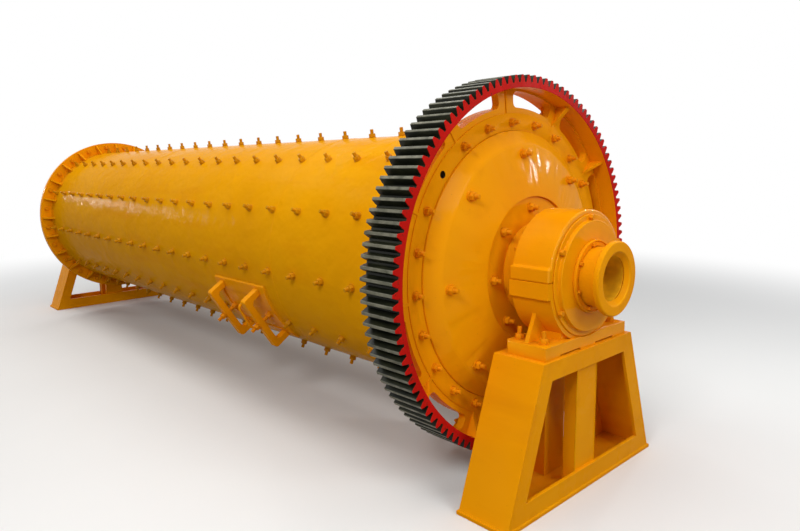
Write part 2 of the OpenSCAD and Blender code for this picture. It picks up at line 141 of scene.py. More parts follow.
# Camera of the photograph: place, heading, tilt and roll in degrees, and lens in millimetres.
CAMERA_AT = (4.2748, -2.3827, 1.4053)
CAMERA_TURN = (46.8, -9.011, -0.79)
CAMERA_LENS = 28.99
CAMERA_SENSOR = 36

# Colours.
YELLOW = (0.9, 0.355, 0.002)
AMBER = (0.84, 0.305, 0.002)
# The thin coat's colour, which also serves as painted shade in corners and gaps.
THIN_COAT_AND_SHADE = (0.7, 0.225, 0.002)
GRIME = (0.2, 0.07, 0.006)
DUST = (0.62, 0.36, 0.09)
SHELL_COATS = {"thick": (0.8, 0.345, 0.002), "thin": (0.74, 0.305, 0.002)}
# The liner bolts' coats are darker than the shell's as painted shade, for the shade on their
# sides.
LINER_SHADE_COATS = {"thick": (0.64, 0.27, 0.002), "thin": (0.5, 0.2, 0.002)}


# Materials.


class Shader:
    """Adds and links nodes in the tree of a new material or world."""

    def __init__(self, owner):
        owner.use_nodes = True
        self.owner = owner
        self.tree = owner.node_tree
        self.tree.nodes.clear()

    def node(self, kind, inputs=None, **settings):
        """A node with its settings. An input is a value or the socket that feeds it."""
        made = self.tree.nodes.new("ShaderNode" + kind)
        for key, value in settings.items():
            setattr(made, key, value)
        for key, value in (inputs or {}).items():
            if isinstance(value, bpy.types.NodeSocket):
                self.tree.links.new(value, made.inputs[key])
            else:
                made.inputs[key].default_value = value
        return made

    def place(self, scale=(1, 1, 1)):
        """The object's own coordinates, stretched by scale."""
        coords = self.node("TexCoord").outputs["Object"]
        if scale == (1, 1, 1):
            return coords
        return self.node("Mapping", {"Vector": coords, "Scale": scale}).outputs["Vector"]

    def noise(self, scale, detail=3.0, vector=None, rough=0.5):
        """Noise from 0 to 1 in the object's own coordinates."""
        inputs = {"Scale": scale, "Detail": detail, "Roughness": rough}
        inputs["Vector"] = vector or self.place()
        return self.node("TexNoise", inputs).outputs["Fac"]

    def math(self, operation, a, b=0.0):
        """Result of one operation on a and b."""
        return self.node("Math", {0: a, 1: b}, operation=operation).outputs[0]

    def hypot(self, a, b):
        """Root of the sum of two squares."""
        square = self.math("ADD", self.math("MULTIPLY", a, a), self.math("MULTIPLY", b, b))
        return self.math("SQRT", square)

    def ramp(self, value, low, high, to_low=0.0, to_high=1.0, shape="LINEAR"):
        """The value moved from the range low to high into the range to_low to to_high."""
        source = {"Value": value, "From Min": low, "From Max": high}
        target = {"To Min": to_low, "To Max": to_high}
        return self.node("MapRange", source | target, interpolation_type=shape).outputs["Result"]

    def mix(self, factor, a, b):
        """Colour a where factor is 0, b where it is 1. A colour is a triple or a socket."""
        a, b = ((*colour, 1) if isinstance(colour, tuple) else colour for colour in (a, b))
        return self.node("Mix", {"Factor": factor, 6: a, 7: b}, data_type="RGBA").outputs[2]

    def crevice(self, distance):
        """1 in corners and gaps, 0 on open faces."""
        made = self.node("AmbientOcclusion", {"Distance": distance}, samples=4)
        return self.math("SUBTRACT", 1.0, made.outputs["AO"])

    def bump(self, height, strength, distance, normal=None):
        """Normal of a surface with relief, on top of another normal if there is one."""
        inputs = {"Height": height, "Strength": strength, "Distance": distance}
        if normal:
            inputs["Normal"] = normal
        return self.node("Bump", inputs).outputs["Normal"]

    def seen(self):
        """1 for what the camera sees, also in reflections and through glass, 0 for lighting."""
        rays = self.node("LightPath").outputs
        direct = self.math("MAXIMUM", rays["Is Camera Ray"], rays["Is Glossy Ray"])
        return self.math("MAXIMUM", direct, rays["Is Transmission Ray"])

    def blend(self, factor, a, b):
        """Shader a where factor is 0, b where it is 1."""
        inputs = {0: factor, 1: a.outputs[0], 2: b.outputs[0]}
        return self.node("MixShader", inputs).outputs[0]

    def finish(self, colour, roughness, normal, **constants):
        """The finished material. Constants are named after sockets, with _ for a space."""
        inputs = {"Base Color": colour, "Roughness": roughness, "Normal": normal}
        inputs |= {key.replace("_", " "): value for key, value in constants.items()}
        shader = self.node("BsdfPrincipled", inputs)
        self.node("OutputMaterial", {"Surface": shader.outputs[0]})
        return self.owner


def material_shader(name):
    """Shader of a new material."""
    return Shader(bpy.data.materials.new(name))


def paint_colour(s, grimy=0.45, thick=YELLOW, thin=AMBER):
    """Sprayed gloss paint with thick and thin coats, a dust film, grime specks and painted shade
    in the corners.
    """
    coats = s.ramp(s.noise(1.6, 4), 0.3, 0.7)
    colour = s.mix(coats, thick, thin)
    passes = s.ramp(s.noise(9, 3, s.place((0.15, 1, 1))), 0.55, 0.75, 0.0, 0.35)
    colour = s.mix(passes, colour, THIN_COAT_AND_SHADE)
    upward = s.node("SeparateXYZ", {0: s.node("NewGeometry").outputs["Normal"]}).outputs["Z"]
    settled = s.ramp(s.noise(5, 6), 0.45, 0.75, 0.0, 0.12)
    film = s.math("MULTIPLY", s.ramp(upward, 0.2, 0.95), settled)
    colour = s.mix(film, colour, DUST)
    specks = s.ramp(s.noise(95, 2), 0.73, 0.78, 0.0, 0.3)
    colour = s.mix(specks, colour, GRIME)
    # Painted shade: ambient occlusion mixes the thin coat's darker colour into corners and gaps,
    # in patches of varying strength.
    shade_patches = s.ramp(s.noise(14, 4), 0.25, 0.7, 0.15, grimy)
    return s.mix(s.math("MULTIPLY", s.crevice(0.018), shade_patches), colour, THIN_COAT_AND_SHADE)


def painted(name, texture=380.0, depth=0.0006, dent=0.0, gloss=(0.2, 0.36), shine=0.035, **coat):
    """Glossy paint on plate or, with a coarser texture, on a casting.

    Texture is the fineness of the grain and depth its height, dent the height of small dents,
    gloss the range of roughness and shine the strength of reflections.
    """
    s = material_shader(name)
    colour = paint_colour(s, **coat)
    rough = s.ramp(s.noise(6, 5), 0.3, 0.75, *gloss)
    normal = s.bump(s.noise(3.6, 2, s.place((0.7, 1, 1))), 0.5, 0.004)
    if dent:
        normal = s.bump(s.noise(12, 2), 0.8, dent, normal)
    normal = s.bump(s.noise(texture, 3), 0.35, depth, normal)
    return s.finish(colour, rough, normal, Specular_IOR_Level=shine)


def tooth_grease():
    """Dark greasy teeth with rubbed tips."""
    s = material_shader("gear_tooth_finish")
    coords = s.node("SeparateXYZ", {0: s.place()}).outputs
    radius = s.hypot(coords["Y"], s.math("SUBTRACT", coords["Z"], AXIS_Z))
    tip = s.ramp(radius, TIP_R - 0.0025, TIP_R - 0.0008)
    streak = s.noise(30, 5, s.place((0.25, 1, 1)), 0.65)
    grease = s.mix(s.ramp(streak, 0.45, 0.75), (0.008, 0.009, 0.005), (0.035, 0.036, 0.016))
    worn = s.ramp(s.noise(22, 4), 0.3, 0.7)
    rubbed = s.mix(worn, (0.07, 0.07, 0.045), (0.21, 0.2, 0.145))
    rough = s.ramp(s.noise(18, 4), 0.3, 0.8, 0.28, 0.5)
    normal = s.bump(s.noise(160, 4, s.place((0.4, 1, 1))), 0.35, 0.001)
    return s.finish(s.mix(tip, grease, rubbed), rough, normal, Specular_IOR_Level=0.14)


def red_paint():
    """Red side faces of the girth gear, chipped in small spots."""
    s = material_shader("gear_red_paint")
    red = s.mix(s.ramp(s.noise(5, 5), 0.3, 0.75), (0.6, 0.012, 0.008), (0.42, 0.009, 0.006))
    chips = s.ramp(s.noise(60, 4), 0.64, 0.7, 0.0, 0.8)
    colour = s.mix(chips, red, (0.14, 0.025, 0.012))
    rough = s.ramp(s.noise(18, 4), 0.3, 0.8, 0.3, 0.5)
    normal = s.bump(s.noise(120, 3), 0.3, 0.001)
    return s.finish(colour, rough, normal, Specular_IOR_Level=0.012)


def plain_metal(name, light, dark, metallic=1.0):
    """Bare or greasy steel."""
    s = material_shader(name)
    colour = s.mix(s.ramp(s.noise(25, 5), 0.3, 0.7), light, dark)
    rough = s.ramp(s.noise(40, 4), 0.3, 0.7, 0.3, 0.5)
    return s.finish(colour, rough, s.bump(s.noise(300, 3), 0.3, 0.0004), Metallic=metallic)


def passage_paint():
    """Thin dull paint inside the trunnion passages."""
    s = material_shader("passage_finish")
    colour = s.mix(s.ramp(s.noise(16, 5), 0.42, 0.62), (0.95, 0.5, 0.012), (0.76, 0.37, 0.01))
    rough = s.ramp(s.noise(30, 3), 0.3, 0.7, 0.5, 0.75)
    return s.finish(colour, rough, s.bump(s.noise(90, 4), 0.4, 0.002), Specular_IOR_Level=0.05)


def floor_finish():
    """Plain pale floor that holds the object's shadow and runs out to white far away."""
    s = material_shader("floor_finish")
    seen = s.seen()
    pale = s.mix(s.noise(0.8, 3), (0.8, 0.8, 0.79), (0.84, 0.84, 0.83))
    near = s.node("BsdfDiffuse", {"Color": s.mix(seen, (0.34, 0.33, 0.31), pale)})
    far = s.node("Emission", {"Color": (1, 1, 1, 1), "Strength": 1.0})
    coords = s.node("SeparateXYZ", {0: s.place()}).outputs
    white = s.ramp(s.hypot(coords["X"], coords["Y"]), 3.5, 7.5, shape="SMOOTHSTEP")
    s.node("OutputMaterial", {"Surface": s.blend(s.math("MULTIPLY", white, seen), near, far)})
    return s.owner


# Texture of castings, and the texture and gloss of small pieces.
SAND = 110.0
SMALL = {"texture": 200.0, "depth": 0.001, "gloss": (0.35, 0.5)}

# Materials by the kind of piece.
PLATE = painted("plate_paint", shine=0.014)
SHELL = painted("shell_paint", dent=0.009, gloss=(0.08, 0.16), shine=0.002, **SHELL_COATS)
# Paint of the liner bolts, darkened as painted shade.
LINER_SHADE_PAINT = painted("liner_bolt_shade_paint", **SMALL, **LINER_SHADE_COATS)
CAST = painted("casting_paint", SAND, 0.0022, gloss=(0.22, 0.4), shine=0.013)
SMOOTH = painted("smooth_casting_paint", SAND, 0.001, dent=0.003, gloss=(0.08, 0.16))
GLOSS = painted("glossy_casting_paint", SAND, 0.0008, dent=0.004, gloss=(0.06, 0.14), shine=0.1)
# Bolts get stronger painted shade in their corners.
BOLT = painted("bolt_paint", **SMALL, grimy=0.7, thick=AMBER, thin=THIN_COAT_AND_SHADE)
BEAD = painted("weld_paint", 70.0, 0.003, gloss=(0.3, 0.45), shine=0.01, **SHELL_COATS)
GREASE = tooth_grease()
RED = red_paint()
STEEL = plain_metal("bearing_steel_finish", (0.5, 0.5, 0.49), (0.35, 0.34, 0.32))
# Near black greased steel for the inside of the free bolt hole, which is also painted shade
# there.
BLACK = plain_metal("greased_steel_shade_finish", (0.05, 0.045, 0.035), (0.11, 0.09, 0.06), 0.6)
PASSAGE = passage_paint()


# Mesh tools.


def link(piece):
    """Put an object in the scene."""
    bpy.context.scene.collection.objects.link(piece)
    return piece


def new_object(name, mesh, body, material, sharp=35):
    """Link a mesh as a piece that rides on a body. Edges above the sharp angle stay sharp."""
    mesh.shade_smooth()
    mesh.set_sharp_from_angle(angle=math.radians(sharp))
    mesh.materials.clear()
    mesh.materials.append(material)
    piece = link(bpy.data.objects.new(name, mesh))
    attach(piece, body)
    return piece


def round_edges(shape, width, segments, wanted=None, angle=32):
    """Round the edges of a shape above an angle, or only those whose ends are wanted."""
    edges = [
        e
        for e in shape.edges
        if len(e.link_faces) == 2 and e.calc_face_angle(0) > math.radians(angle)
    ]
    if wanted:
        edges = [e for e in edges if all(wanted(v.co) for v in e.verts)]
    bmesh.ops.bevel(
        shape,
        geom=edges,
        offset=width,
        segments=segments,
        profile=0.5,
        affect="EDGES",
        clamp_overlap=True,
    )


def soften(node, width, material, segments=2, bore=0.0, edit=None, first=()):
    """Stand a copy of a node with rounded edges in its place.

    Faces within the bore radius get the finish of the passages. Edit changes the shape before
    it is rounded, and first lists roundings of chosen edges that come before the others.
    """
    source = nodes[node]
    shape = bmesh.new()
    shape.from_mesh(source.data)
    bmesh.ops.remove_doubles(shape, verts=shape.verts, dist=1e-5)
    bmesh.ops.dissolve_limit(
        shape, angle_limit=math.radians(0.4), verts=shape.verts, edges=shape.edges
    )
    if edit:
        edit(shape)
    for rounding in first:
        round_edges(shape, *rounding)
    round_edges(shape, width, segments)
    mesh = bpy.data.meshes.new(node + "_look")
    shape.to_mesh(mesh)
    shape.free()
    piece = new_object(node + "_look", mesh, source["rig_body"], material)
    if bore:
        mesh.materials.append(PASSAGE)
        for face in mesh.polygons:
            if from_axis(face.center) < bore and abs(face.normal.x) < 0.5:
                face.material_index = 1
    weighted = piece.modifiers.new("Weighted", "WEIGHTED_NORMAL")
    weighted.keep_sharp = True
    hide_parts(node)
    return piece


def skin(rings, sides, loop=False, capped=True):
    """Faces over a row of rings of vertices. A loop joins the last ring to the first."""
    faces = []
    for i in range(rings if loop else rings - 1):
        j = (i + 1) % rings
        for k in range(sides):
            n = (k + 1) % sides
            faces.append((i * sides + k, i * sides + n, j * sides + n, j * sides + k))
    if capped and not loop:
        faces.append(tuple(reversed(range(sides))))
        faces.append(tuple((rings - 1) * sides + k for k in range(sides)))
    return faces


def turned_part(outline, sides, capped=True):
    """Vertices and faces of an outline of (radius, height) turned round local z."""
    verts = []
    for radius, height in outline:
        for k in range(sides):
            a = 2 * math.pi * k / sides
            verts.append((radius * math.cos(a), radius * math.sin(a), height))
    return np.array(verts), skin(len(outline), sides, capped=capped)


def joined(parts):
    """Several (vertices, faces) parts as one."""
    verts, faces, count = [], [], 0
    for v, f in parts:
        verts.append(v)
        faces += [tuple(i + count for i in face) for face in f]
        count += len(v)
    return np.concatenate(verts), faces


def placed(part, matrix):
    """A part moved by a matrix."""
    m = np.array(matrix)
    return part[0] @ m[:3, :3].T + m[:3, 3], part[1]


def plain_mesh(name, verts, faces):
    """Mesh of vertices and faces."""
    mesh = bpy.data.meshes.new(name)
    mesh.from_pydata(verts.tolist(), [], faces)
    return mesh


def pile(name, parts, body, material, sharp=35):
    """One object from many parts."""
    mesh = plain_mesh(name, *joined(parts))
    mesh.validate()
    return new_object(name, mesh, body, material, sharp=sharp)


def facing(point, out, spin=0.0):
    """Matrix that puts local z along out at a point, turned by spin degrees."""
    turn = Vector(out).normalized().to_track_quat("Z", "Y").to_matrix().to_4x4()
    return Matrix.Translation(point) @ turn @ Matrix.Rotation(math.radians(spin), 4, "Z")


def any_spin():
    """Turn of a hexagon that was tightened by hand."""
    return random.uniform(0, 60)


def round_axis(x, radius, angle):
    """Point at a radius and angle round the drum axis."""
    a = math.radians(angle)
    return Vector((x, radius * math.cos(a), AXIS_Z + radius * math.sin(a)))


def outward(angle):
    """Direction away from the drum axis at an angle."""
    a = math.radians(angle)
    return Vector((0, math.cos(a), math.sin(a)))


def straight(a, b, step=0.008):
    """Points from a to b at about the step of a weld ripple."""
    a, b = Vector(a), Vector(b)
    n = max(2, int((b - a).length / step))
    return [a.lerp(b, i / n) for i in range(n + 1)]


def circle(x, radius, a0=0.0, a1=360.0, count=360):
    """Points round the drum axis. A full circle doesn't repeat its first point."""
    total = count if a1 - a0 >= 360 else count + 1
    return [round_axis(x, radius, a0 + (a1 - a0) * i / count) for i in range(total)]


def bead(path, radius=0.0035, closed=False, sides=6, ripple=0.12):
    """Round bead along a path of points, with the ripples of a hand weld."""
    count = len(path)
    verts = []
    side = None
    for i, p in enumerate(path):
        before = path[i - 1] if i or closed else p
        after = path[(i + 1) % count] if i < count - 1 or closed else p
        along = (after - before).normalized()
        if side is None:
            side = along.orthogonal().normalized()
        side = (side - along * side.dot(along)).normalized()
        up = along.cross(side)
        r = radius * (1 + ripple * (random.random() - 0.5) + ripple * (i % 2))
        for k in range(sides):
            a = 2 * math.pi * k / sides
            verts.append(tuple(p + side * r * math.cos(a) + up * r * math.sin(a)))
    return np.array(verts), skin(count, sides, loop=closed)


# Rounded frame pieces.


def on_knee(p):
    """True at the bend between the cone and the rim band of a head."""
    return abs(from_axis(p) - KNEE_R) < 0.003


def dish(shape):
    """Set the knee of a head 9 mm further out, so that its rim band is steeper."""
    for v in shape.verts:
        if on_knee(v.co):
            v.co.x += math.copysign(0.009, v.co.x)


def flare(shape):
    """Open the outer edge of a trunnion ring's bore into a mouth."""
    mouth = min(from_axis(v.co) for v in shape.verts)
    outer = max(abs(v.co.x) for v in shape.verts)
    widen = 1.17
    for v in shape.verts:
        if from_axis(v.co) < mouth + 0.002 and abs(v.co.x) > outer - 0.002:
            v.co.y *= widen
            v.co.z = AXIS_Z + (v.co.z - AXIS_Z) * widen


def fill_web(shape):
    """Bring the gear web out to a shallow step round the bolted ring, with slim joint plates."""
    across = outward(SPLIT_ANGLE + 90)
    plates_r, step_r = 0.67, 0.684
    for v in shape.verts:
        beside = v.co.y * across.y + (v.co.z - AXIS_Z) * across.z
        on_plate = abs(abs(beside) - JOINT_PLATE) < 0.0003 and v.co.x > GEAR_END + 0.04
        if on_plate and from_axis(v.co) > plates_r:
            v.co -= across * math.copysign(JOINT_PLATE / 2, beside)
        if abs(v.co.x - WEB_FACE) < 0.0005 and from_axis(v.co) > step_r:
            v.co.x = RING_FACE - 0.004


def drill(piece, at, radius, depth):
    """Cut a blind bolt hole along the mill into a piece, with a dark inside of greased steel that
    is also painted shade in the hole.
    """
    tool = turned_part([(radius, -depth), (radius, depth)], 20)
    mesh = plain_mesh("drill", *placed(tool, facing(at, (1, 0, 0))))
    mesh.materials.append(BLACK)
    cutter = link(bpy.data.objects.new("drill", mesh))
    piece.data.materials.append(BLACK)
    cut = piece.modifiers.new("Cut", "BOOLEAN")
    cut.object = cutter
    cut.solver = "EXACT"
    cut.material_mode = "TRANSFER"
    bpy.context.view_layer.update()
    final = piece.evaluated_get(bpy.context.evaluated_depsgraph_get())
    made = bpy.data.meshes.new_from_object(final)
    piece.modifiers.clear()
    piece.data = made
    bpy.data.objects.remove(cutter)


def dress_gear():
    """Webs with a free bolt hole, and rims with greasy teeth, red sides and a painted inside."""
    for half in ("rear", "front"):
        web = soften("gear_web_" + half, TURNED_EDGE, CAST, edit=fill_web)
        if half == "rear":
            drill(web, round_axis(RING_FACE, GEAR_NUTS_R, FREE_HOLE_ANGLE), 0.0155, 0.06)
        rim = soften("gear_rim_" + half, TOOTH_EDGE, GREASE, 1)
        rim.data.materials.append(RED)
        rim.data.materials.append(CAST)
        for face in rim.data.polygons:
            if abs(face.normal.x) > 0.5:
                face.material_index = 1
            elif from_axis(face.center) < RIM_R + 0.001:
                face.material_index = 2


def dress_drum():
    """Shell, flanges, girth gear and manhole."""
    for node in ("shell_feed", "shell_middle", "shell_discharge"):
        nodes[node].material_slots[0].material = SHELL
    soften("flange_feed", CAST_EDGE, PLATE)
    soften("flange_discharge", CAST_EDGE, PLATE)
    dress_gear()
    soften("manhole_frame", PLATE_EDGE, PLATE)
    soften("manhole_cover", PLATE_EDGE, PLATE)
    soften("manhole_clamp_feed_side", CAST_EDGE, CAST)
    soften("manhole_clamp_gear_side", CAST_EDGE, CAST)


def dress_head(end):
    """Head of the drum, with softer edges round the trunnion flange and at the knee."""
    lip = radii(end + "_trunnion_flange")[1]

    def round_lip(p):
        return lip + 0.001 < from_axis(p) < lip + 0.03

    first = [(0.007, 4, round_lip), (0.012, 3, on_knee, 8)]
    soften("head_" + end, CAST_EDGE, SMOOTH, edit=dish, first=first)


def dress_stand(end):
    """Welded stand of a bearing."""
    for part in ("base", "side_front", "side_rear", "top", "outer_frame", "inner_frame"):
        soften(end + "_stand_" + part, PLATE_EDGE, PLATE)


def dress_bearing(end):
    """Bearing housing, with rounder edges at its rim, its joint block and the top of its foot."""
    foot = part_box(end + "_stand_top")[1].z

    def big_edge(p):
        block = abs(p.y) > 0.27 and p.z > AXIS_Z - 0.08
        rim = from_axis(p) > 0.272 and p.z > foot + 0.09 and abs(p.y) > 0.19
        plate = abs(p.z - foot - FOOT_THICK) < 0.002 and abs(p.y) > 0.3
        return block or rim or plate

    soften(end + "_bearing_base", 0.004, SMOOTH, first=[(0.011, 4, big_edge)])
    soften(end + "_bearing_cap", 0.012, GLOSS, segments=4)
    soften(end + "_bearing_cover", 0.006, SMOOTH, segments=3)
    soften(end + "_bearing_gland", CAST_EDGE, CAST, segments=3)
    soften(end + "_back_cover", TURNED_EDGE, CAST)
    nodes[end + "_bearing_ring"].material_slots[0].material = STEEL


def dress_frame():
    """Give each node of the frame its material, most of them as a copy with rounded edges."""
    dress_drum()
    for end in ENDS:
        dress_head(end)
        soften(end + "_trunnion_flange", TURNED_EDGE, SMOOTH)
        soften(end + "_trunnion_tube", TURNED_EDGE, CAST, bore=0.1)
        soften(end + "_trunnion_ring", 0.007, CAST, segments=4, bore=0.115, edit=flare)
        dress_stand(end)
        dress_bearing(end)


# Fasteners.


def threaded(radius, start, length, pitch=0.0035):
    """Stud end with thread ridges and a chamfered tip."""
    outline = []
    ridges = max(2, int(length / pitch))
    for k in range(ridges):
        outline += [(radius, start + k * pitch), (radius * 0.9, start + (k + 0.5) * pitch)]
    tip = start + ridges * pitch
    outline += [(radius, tip), (radius * 0.8, tip + radius * 0.2)]
    return turned_part(outline, 10)


def hexagon(flat):
    """Corner radius, washer thickness and height of a nut or head. Flat is its width."""
    return flat / math.sqrt(3), flat * 0.1, flat * 0.62


def bolt(flat, stud, washer=1.16, foot=0.0):
    """Washer, nut and stud end on local z. Foot is how far the washer reaches below it."""
    corner, t, h = hexagon(flat)
    edge = corner * washer
    ring = turned_part([(edge, -foot), (edge, t * 0.8), (edge - t * 0.2, t)], 20)
    lower = [(corner * 0.93, t), (corner, t + h * 0.08)]
    upper = [(corner, t + h * 0.86), (corner * 0.88, t + h)]
    nut = turned_part(lower + upper, 6)
    return joined([ring, nut, threaded(flat * 0.31, t + h, stud)])


def cap_screw(flat):
    """Washer and hexagon head without a stud end."""
    corner, t, h = hexagon(flat)
    ring = turned_part([(corner * 1.2, 0), (corner * 1.2, t * 0.8), (corner * 1.18, t)], 20)
    outline = [(corner, t), (corner, t + h * 0.85), (corner * 0.9, t + h), (corner * 0.5, t + h)]
    return joined([ring, turned_part(outline, 6)])


def liner_bolts():
    """Twelve rows of bolts that hold the liners, with none through the manhole frame."""
    rows, per_row = 12, 21
    first_angle, row_step = 96.8, 30
    first_x, spacing = FEED_END + 0.074, 0.23
    frame_reach, margin = 19, 0.02
    one = bolt(0.031, 0.024)
    low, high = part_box("manhole_frame")
    parts = []
    for row in range(rows):
        angle = first_angle + row_step * row
        for k in range(per_row):
            x = first_x + spacing * k
            beside = abs(angle % 360 - MANHOLE_ANGLE) < frame_reach
            if beside and low.x - margin < x < high.x + margin:
                continue
            seat = facing(round_axis(x, SHELL_R - 0.001, angle), outward(angle), any_spin())
            parts.append(placed(one, seat))
    pile("liner_bolts", parts, "drum", LINER_SHADE_PAINT)


def ring_of_bolts(part, x, radius, first, step, out, free=None):
    """A part repeated round the axis on a face that looks along out, but not at angle free."""
    angles = [first + k * step for k in range(int(360 / step))]
    return [
        placed(part, facing(round_axis(x, radius, a), (out, 0, 0), any_spin()))
        for a in angles
        if free is None or abs(a - free) > 0.1
    ]


def flange_bolts():
    """Bolts of the girth gear, with one hole left free, and of the feed end's flange."""
    nut, head = bolt(0.03, 0.022), cap_screw(0.03)
    first, step = 3.7, FLANGE_STEP
    gear = ring_of_bolts(nut, RING_FACE, GEAR_NUTS_R, first, step, 1, FREE_HOLE_ANGLE)
    gear += ring_of_bolts(head, GEAR_END, GEAR_HEADS_R, first, step, -1, FREE_HOLE_ANGLE)
    pile("gear_flange_bolts", gear, "drum", BOLT)
    first = 171.3
    face = face_x("flange_feed", -1) - FLANGE_THICK
    feed = ring_of_bolts(nut, face, FEED_BOLTS_R, first, step, -1)
    feed += ring_of_bolts(head, FEED_END, FEED_BOLTS_R, first, step, 1)
    pile("feed_flange_bolts", feed, "drum", BOLT)


def head_bolts():
    """Liner bolts through each head and the bolts of the trunnion flange."""
    step = 45
    for end, sign in ENDS.items():
        shell_end = GEAR_END if sign > 0 else FEED_END
        first = 90 + sign * 3.5
        cone = shell_end + sign * CONE_OUT
        lip = face_x(end + "_trunnion_flange", sign)
        long_foot, flat_foot = bolt(0.032, 0.022, foot=0.006), bolt(0.032, 0.022)
        parts = ring_of_bolts(long_foot, cone, HEAD_BOLTS_R, first, step, sign)
        parts += ring_of_bolts(flat_foot, lip, TRUNNION_BOLTS_R, first + 0.5, step, sign)
        pile(end + "_head_bolts", parts, "drum", BOLT)


def bearing_bolts():
    """Screws of the covers and the gland, and the bolts that hold the bearing down."""
    screw, small, hold = cap_screw(0.022), cap_screw(0.015), bolt(0.032, 0.03)
    first, step, lowest = 31, 60, 271
    for end, sign in ENDS.items():
        cover = face_x(end + "_bearing_cap", sign) + sign * 0.007
        back = face_x(end + "_back_cover", -sign)
        gland = face_x(end + "_bearing_gland", sign) - sign * 0.004
        parts = ring_of_bolts(screw, cover, COVER_SCREWS_R, first, step, sign, lowest)
        parts += ring_of_bolts(screw, back, BACK_SCREWS_R, first, step, -sign)
        parts += ring_of_bolts(small, gland, GLAND_SCREWS_R, 1, 50, sign)
        middle = mid(end + "_bearing_cap", 0)
        foot_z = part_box(end + "_stand_top")[1].z + FOOT_THICK
        for dx in (-0.057, 0.061):
            for y in (-0.26, 0.26):
                seat = facing((middle + sign * dx, y, foot_z), (0, 0, 1), any_spin())
                parts.append(placed(hold, seat))
        pile(end + "_bearing_bolts", parts, "base", BOLT)


def shaft_seals():
    """Fixed ring between the gland and the neck of the trunnion that turns in it."""
    outer_r, inner_r, depth = 0.1445, 0.126, -0.015
    for end, sign in ENDS.items():
        inner = face_x(end + "_bearing_gland", -sign)
        reach = abs(face_x(end + "_bearing_gland", sign) - inner)
        outside = [(outer_r, depth), (outer_r, reach - 0.004)]
        inside = [(0.128, reach - 0.004), (inner_r, reach - 0.007), (inner_r, depth)]
        ring = turned_part(outside + inside + outside[:1], 72, capped=False)
        seat = facing((inner, 0, AXIS_Z), (sign, 0, 0))
        pile(end + "_shaft_seal", [placed(ring, seat)], "base", CAST)


def manhole_fittings():
    """Stud, plate washer and nut that each bow pulls the cover up with, and nut on the cover."""
    out = outward(MANHOLE_ANGLE)
    cover, bow = SHELL_R + 0.006, SHELL_R + 0.097
    stud = turned_part([(0.011, 0.0), (0.011, 0.09), (0.009, 0.093)], 14)
    parts = []
    for clamp in ("manhole_clamp_feed_side", "manhole_clamp_gear_side"):
        low, high = (round_axis(mid(clamp, 0), r, MANHOLE_ANGLE) for r in (cover, bow))
        parts.append(placed(stud, facing(low, out)))
        parts.append(placed(cap_screw(0.034), facing(low, out, 10)))
        parts.append(placed(bolt(0.034, 0.026, 1.4), facing(high, out, 20)))
    pile("manhole_studs", parts, "drum", BOLT)


def joint_bolts():
    """Bolts through the plates behind the web that join the two halves of the girth gear."""
    parts = []
    for split in (SPLIT_ANGLE, SPLIT_ANGLE + 180):
        across = outward(split + 90)
        at = round_axis(GEAR_END + 0.014, JOINT_BOLTS_R, split)
        parts.append(placed(cap_screw(0.016), facing(at + across * JOINT_PLATE, across)))
        parts.append(placed(bolt(0.016, 0.003), facing(at - across * JOINT_PLATE, -across)))
    pile("gear_joint_bolts", parts, "drum", BOLT)


def bent_rod(corners, radius, bend):
    """Rod through the given corners, each rounded from a distance of bend."""
    steps = 6
    path = [corners[0]]
    for a, b, c in zip(corners, corners[1:], corners[2:]):
        start = b + (a - b).normalized() * bend
        stop = b + (c - b).normalized() * bend
        for k in range(steps + 1):
            t = k / steps
            path.append((1 - t) ** 2 * start + 2 * t * (1 - t) * b + t * t * stop)
    path.append(corners[-1])
    return bead(path, radius, sides=12, ripple=0.0)


def handle():
    """Round rod handle of the cover, beside the bow at the gear side."""
    x = mid("manhole_clamp_gear_side", 0) - 0.072
    low, high = SHELL_R + 0.004, SHELL_R + 0.115
    places = ((low, -11.5), (high, -10.5), (high, 2.5), (low, 3.5))
    corners = [round_axis(x, radius, MANHOLE_ANGLE + turn) for radius, turn in places]
    pile("manhole_handle", [bent_rod(corners, 0.0075, 0.03)], "drum", CAST)


# Welds.


def gusset_welds(sign, first):
    """Beads down both sides of each gusset at one end, on the shell and on the flange."""
    face = GEAR_END if sign > 0 else FEED_END
    half = math.degrees(GUSSET_HALF / SHELL_R)
    base = SHELL_R + 0.001
    parts = []
    for k in range(int(360 / FLANGE_STEP)):
        for side in (-1, 1):
            a = first + FLANGE_STEP * k + side * half
            foot = round_axis(face - sign * 0.002, base, a)
            tail = round_axis(face - sign * GUSSET_LENGTH, base, a)
            top = round_axis(face - sign * 0.001, SHELL_R + GUSSET_HEIGHT, a)
            parts.append(bead(straight(foot, tail)))
            parts.append(bead(straight(foot, top)))
    return parts


def seam_welds():
    """Girth seams of the shell, the beads at its flanges and the long seam of each section."""
    parts = [bead(circle(x, SHELL_R - 0.002), closed=True) for x in SEAMS]
    for x in (FEED_END + 0.001, GEAR_END - 0.001):
        parts.append(bead(circle(x, SHELL_R), 0.005, True))
    sections = ((20, FEED_END, SEAMS[0]), (-40, *SEAMS), (50, SEAMS[1], GEAR_END))
    for angle, *ends in sections:
        line = straight(*(round_axis(x, SHELL_R - 0.0015, angle) for x in ends))
        parts.append(bead(line, 0.0045))
    return parts


def manhole_welds():
    """Bead round the manhole frame."""
    low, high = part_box("manhole_frame")
    half = math.degrees(0.192 / SHELL_R)
    base = SHELL_R + 0.002
    first, last = MANHOLE_ANGLE - half, MANHOLE_ANGLE + half
    paths = [straight(*(round_axis(x, base, a) for x in (low.x, high.x))) for a in (first, last)]
    paths += [circle(x, base, first, last, 48) for x in (low.x, high.x)]
    return [bead(path, 0.004) for path in paths]


def drum_welds():
    """All the beads that turn with the drum."""
    parts = seam_welds() + gusset_welds(1, 10) + gusset_welds(-1, 178.8) + manhole_welds()
    pile("drum_welds", parts, "drum", BEAD, sharp=80)


